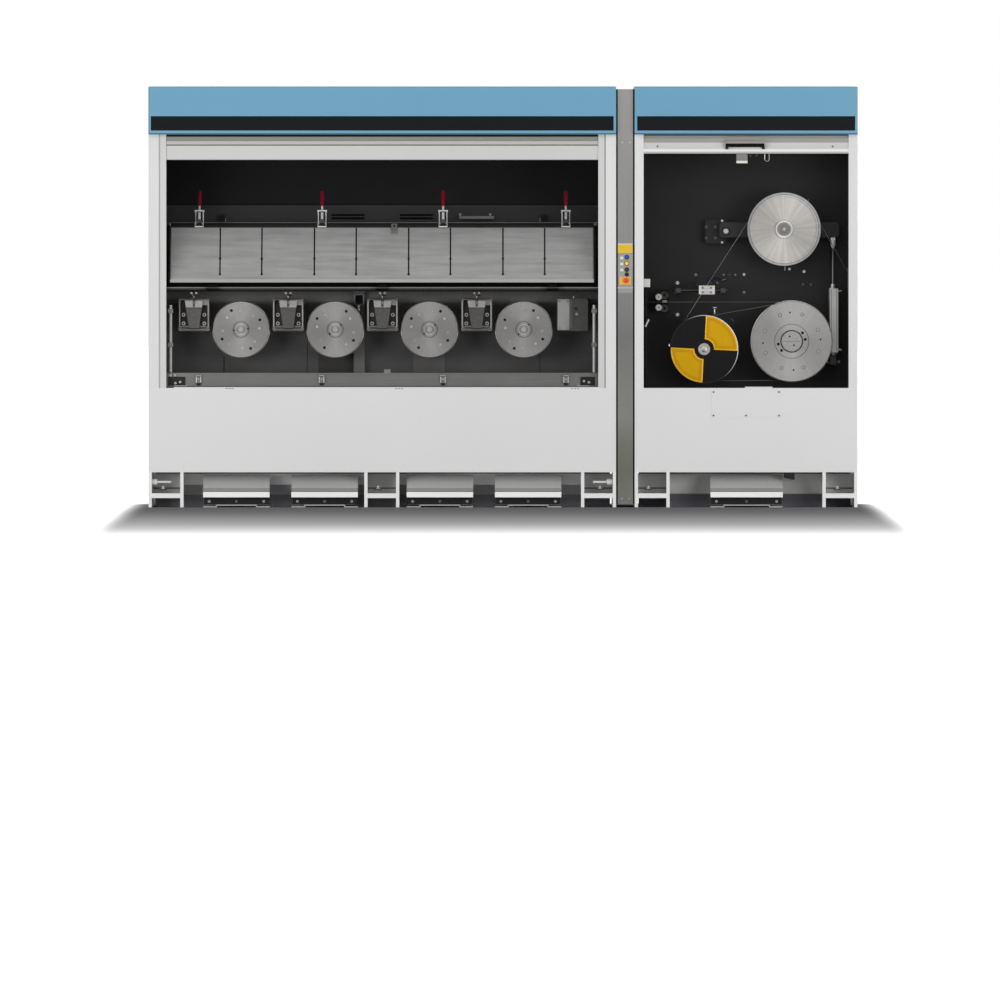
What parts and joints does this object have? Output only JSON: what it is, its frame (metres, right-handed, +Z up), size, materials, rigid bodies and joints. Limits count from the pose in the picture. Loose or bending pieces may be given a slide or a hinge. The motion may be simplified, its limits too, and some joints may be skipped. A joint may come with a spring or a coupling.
{
  "type": "wire drawing machine",
  "caption": "Wire drawing machine in a cabinet: capstans and die holders under a raised lid, a control pillar, then a bay with a final capstan, an idler and a dancer arm.",
  "frame": {"origin": "on the floor, at the centre of the footprint", "axes": "+X along the wire from inlet to outlet, +Y from the service side into the machine, +Z up"},
  "size_m": [4.375, 1.5, 2.6],
  "materials": {
    "cabinet_white": "satin powder coat",
    "guard_blue": "satin powder coat",
    "band_black": "satin",
    "frame_grey": "satin paint",
    "rail_grey": "satin paint",
    "inner_dark": "matt paint",
    "machined_steel": "turned",
    "stainless": "brushed",
    "aluminium": "machined",
    "yellow_black": "yellow and black quarters",
    "steel_dark": "painted",
    "black_plastic": "moulded",
    "white_plastic": "moulded",
    "grip_red": "dipped grip",
    "buttons": "moulded",
    "stop_red": "moulded",
    "chrome": "polished"
  },
  "bodies": {
    "root": {"aprons": "cabinet_white", "base_rails": "rail_grey", "bearing_housings": "steel_dark", "cabin_back_left": "inner_dark", "chamber_back": "inner_dark", "chamber_ends": "inner_dark", "chamber_head": "inner_dark", "chamber_pan": "inner_dark", "control_plate": "aluminium", "coolant_post": "rail_grey", "cross_beams": "frame_grey", "dancer_bracket": "steel_dark", "dancer_cylinder": "aluminium", "deck_plates": "rail_grey", "die_clamps": "machined_steel", "die_holders": "machined_steel", "emergency_stop": "stop_red", "end_walls": "cabinet_white", "entry_rollers": "machined_steel", "exit_box": "stainless", "extraction_duct": "inner_dark", "fascia_bands": "band_black", "fascias": "guard_blue", "inner_walls": "cabinet_white", "mounting_plate": "inner_dark", "pedal_brackets": "steel_dark", "pillar_core": "inner_dark", "pillar_cover": "stainless", "push_buttons": "buttons", "rear_walls": "cabinet_white", "roof_plates": "cabinet_white", "shutter_guides": "cabinet_white", "shutter_handle": "black_plastic", "shutters": "cabinet_white", "sill_rail": "stainless", "switch_box": "white_plastic", "wire_guide": "machined_steel"},
    "capstan_1": {"capstan_1": "machined_steel"},
    "capstan_2": {"capstan_2": "machined_steel"},
    "capstan_3": {"capstan_3": "machined_steel"},
    "capstan_4": {"capstan_4": "machined_steel"},
    "final_capstan": {"final_capstan": "machined_steel"},
    "idler": {"idler_sheave": "aluminium", "idler_cover": "yellow_black"},
    "dancer_arm": {"dancer_arm": "steel_dark"},
    "dancer_sheave": {"dancer_sheave": "aluminium"},
    "cylinder_rod": {"cylinder_rod": "chrome"},
    "lid": {"lid_pan": "inner_dark", "lid_liner": "stainless", "clamp_bases": "stainless"},
    "clamp_lever_1": {"clamp_lever_1": "grip_red"},
    "clamp_lever_2": {"clamp_lever_2": "grip_red"},
    "clamp_lever_3": {"clamp_lever_3": "grip_red"},
    "clamp_lever_4": {"clamp_lever_4": "grip_red"},
    "pedal_1": {"pedal_1": "frame_grey"},
    "pedal_2": {"pedal_2": "frame_grey"},
    "pedal_3": {"pedal_3": "frame_grey"},
    "pedal_4": {"pedal_4": "frame_grey"},
    "pedal_5": {"pedal_5": "frame_grey"}
  },
  "joints": [
    {"name": "capstan_1_spin", "type": "hinge", "parent": "root", "child": "capstan_1", "pos_m": [-1.61875, -0.54, 1.097], "axis": [0, 1, 0], "continuous": true},
    {"name": "capstan_2_spin", "type": "hinge", "parent": "root", "child": "capstan_2", "pos_m": [-1.03625, -0.54, 1.097], "axis": [0, 1, 0], "continuous": true},
    {"name": "capstan_3_spin", "type": "hinge", "parent": "root", "child": "capstan_3", "pos_m": [-0.45375, -0.54, 1.097], "axis": [0, 1, 0], "continuous": true},
    {"name": "capstan_4_spin", "type": "hinge", "parent": "root", "child": "capstan_4", "pos_m": [0.12875, -0.54, 1.097], "axis": [0, 1, 0], "continuous": true},
    {"name": "final_capstan_spin", "type": "hinge", "parent": "root", "child": "final_capstan", "pos_m": [1.784, -0.54, 1.024], "axis": [0, 1, 0], "continuous": true},
    {"name": "idler_spin", "type": "hinge", "parent": "root", "child": "idler", "pos_m": [1.243, -0.54, 0.975], "axis": [0, 1, 0], "continuous": true},
    {"name": "dancer_swing", "type": "hinge", "parent": "root", "child": "dancer_arm", "pos_m": [1.379, -0.365, 1.705], "axis": [0, 1, 0], "range_deg": [-10, 10]},
    {"name": "dancer_sheave_spin", "type": "hinge", "parent": "dancer_arm", "child": "dancer_sheave", "pos_m": [1.7375, -0.495, 1.717], "axis": [0, 1, 0], "continuous": true},
    {"name": "cylinder_stroke", "type": "slide", "parent": "root", "child": "cylinder_rod", "axis": [0, 0, 1], "range_m": [-0.116, 0.116]},
    {"name": "lid_swing", "type": "hinge", "parent": "root", "child": "lid", "pos_m": [0, -0.685, 1.35], "axis": [1, 0, 0], "range_deg": [0, 215]},
    {"name": "clamp_1_swing", "type": "hinge", "parent": "lid", "child": "clamp_lever_1", "pos_m": [-1.879, -0.3507, 1.75072], "axis": [-1, 0, 0], "range_deg": [0, 100]},
    {"name": "clamp_2_swing", "type": "hinge", "parent": "lid", "child": "clamp_lever_2", "pos_m": [-1.1195, -0.3507, 1.75072], "axis": [-1, 0, 0], "range_deg": [0, 100]},
    {"name": "clamp_3_swing", "type": "hinge", "parent": "lid", "child": "clamp_lever_3", "pos_m": [-0.3705, -0.3507, 1.75072], "axis": [-1, 0, 0], "range_deg": [0, 100]},
    {"name": "clamp_4_swing", "type": "hinge", "parent": "lid", "child": "clamp_lever_4", "pos_m": [0.389, -0.3507, 1.75072], "axis": [-1, 0, 0], "range_deg": [0, 100]},
    {"name": "pedal_1_press", "type": "hinge", "parent": "root", "child": "pedal_1", "pos_m": [-1.645, -0.56, 0.18], "axis": [1, 0, 0], "range_deg": [0, 4], "stiffness_Nm_per_rad": 60, "springref_deg": -11.46},
    {"name": "pedal_2_press", "type": "hinge", "parent": "root", "child": "pedal_2", "pos_m": [-1.1007, -0.56, 0.18], "axis": [1, 0, 0], "range_deg": [0, 4], "stiffness_Nm_per_rad": 60, "springref_deg": -11.46},
    {"name": "pedal_3_press", "type": "hinge", "parent": "root", "child": "pedal_3", "pos_m": [-0.3893, -0.56, 0.18], "axis": [1, 0, 0], "range_deg": [0, 4], "stiffness_Nm_per_rad": 60, "springref_deg": -11.46},
    {"name": "pedal_4_press", "type": "hinge", "parent": "root", "child": "pedal_4", "pos_m": [0.155, -0.56, 0.18], "axis": [1, 0, 0], "range_deg": [0, 4], "stiffness_Nm_per_rad": 60, "springref_deg": -11.46},
    {"name": "pedal_5_press", "type": "hinge", "parent": "root", "child": "pedal_5", "pos_m": [1.503, -0.56, 0.18], "axis": [1, 0, 0], "range_deg": [0, 4], "stiffness_Nm_per_rad": 60, "springref_deg": -11.46}
  ],
  "couplings": [
    {"joint": "cylinder_stroke", "follows": "dancer_swing", "m_per_rad": -0.663}
  ]
}
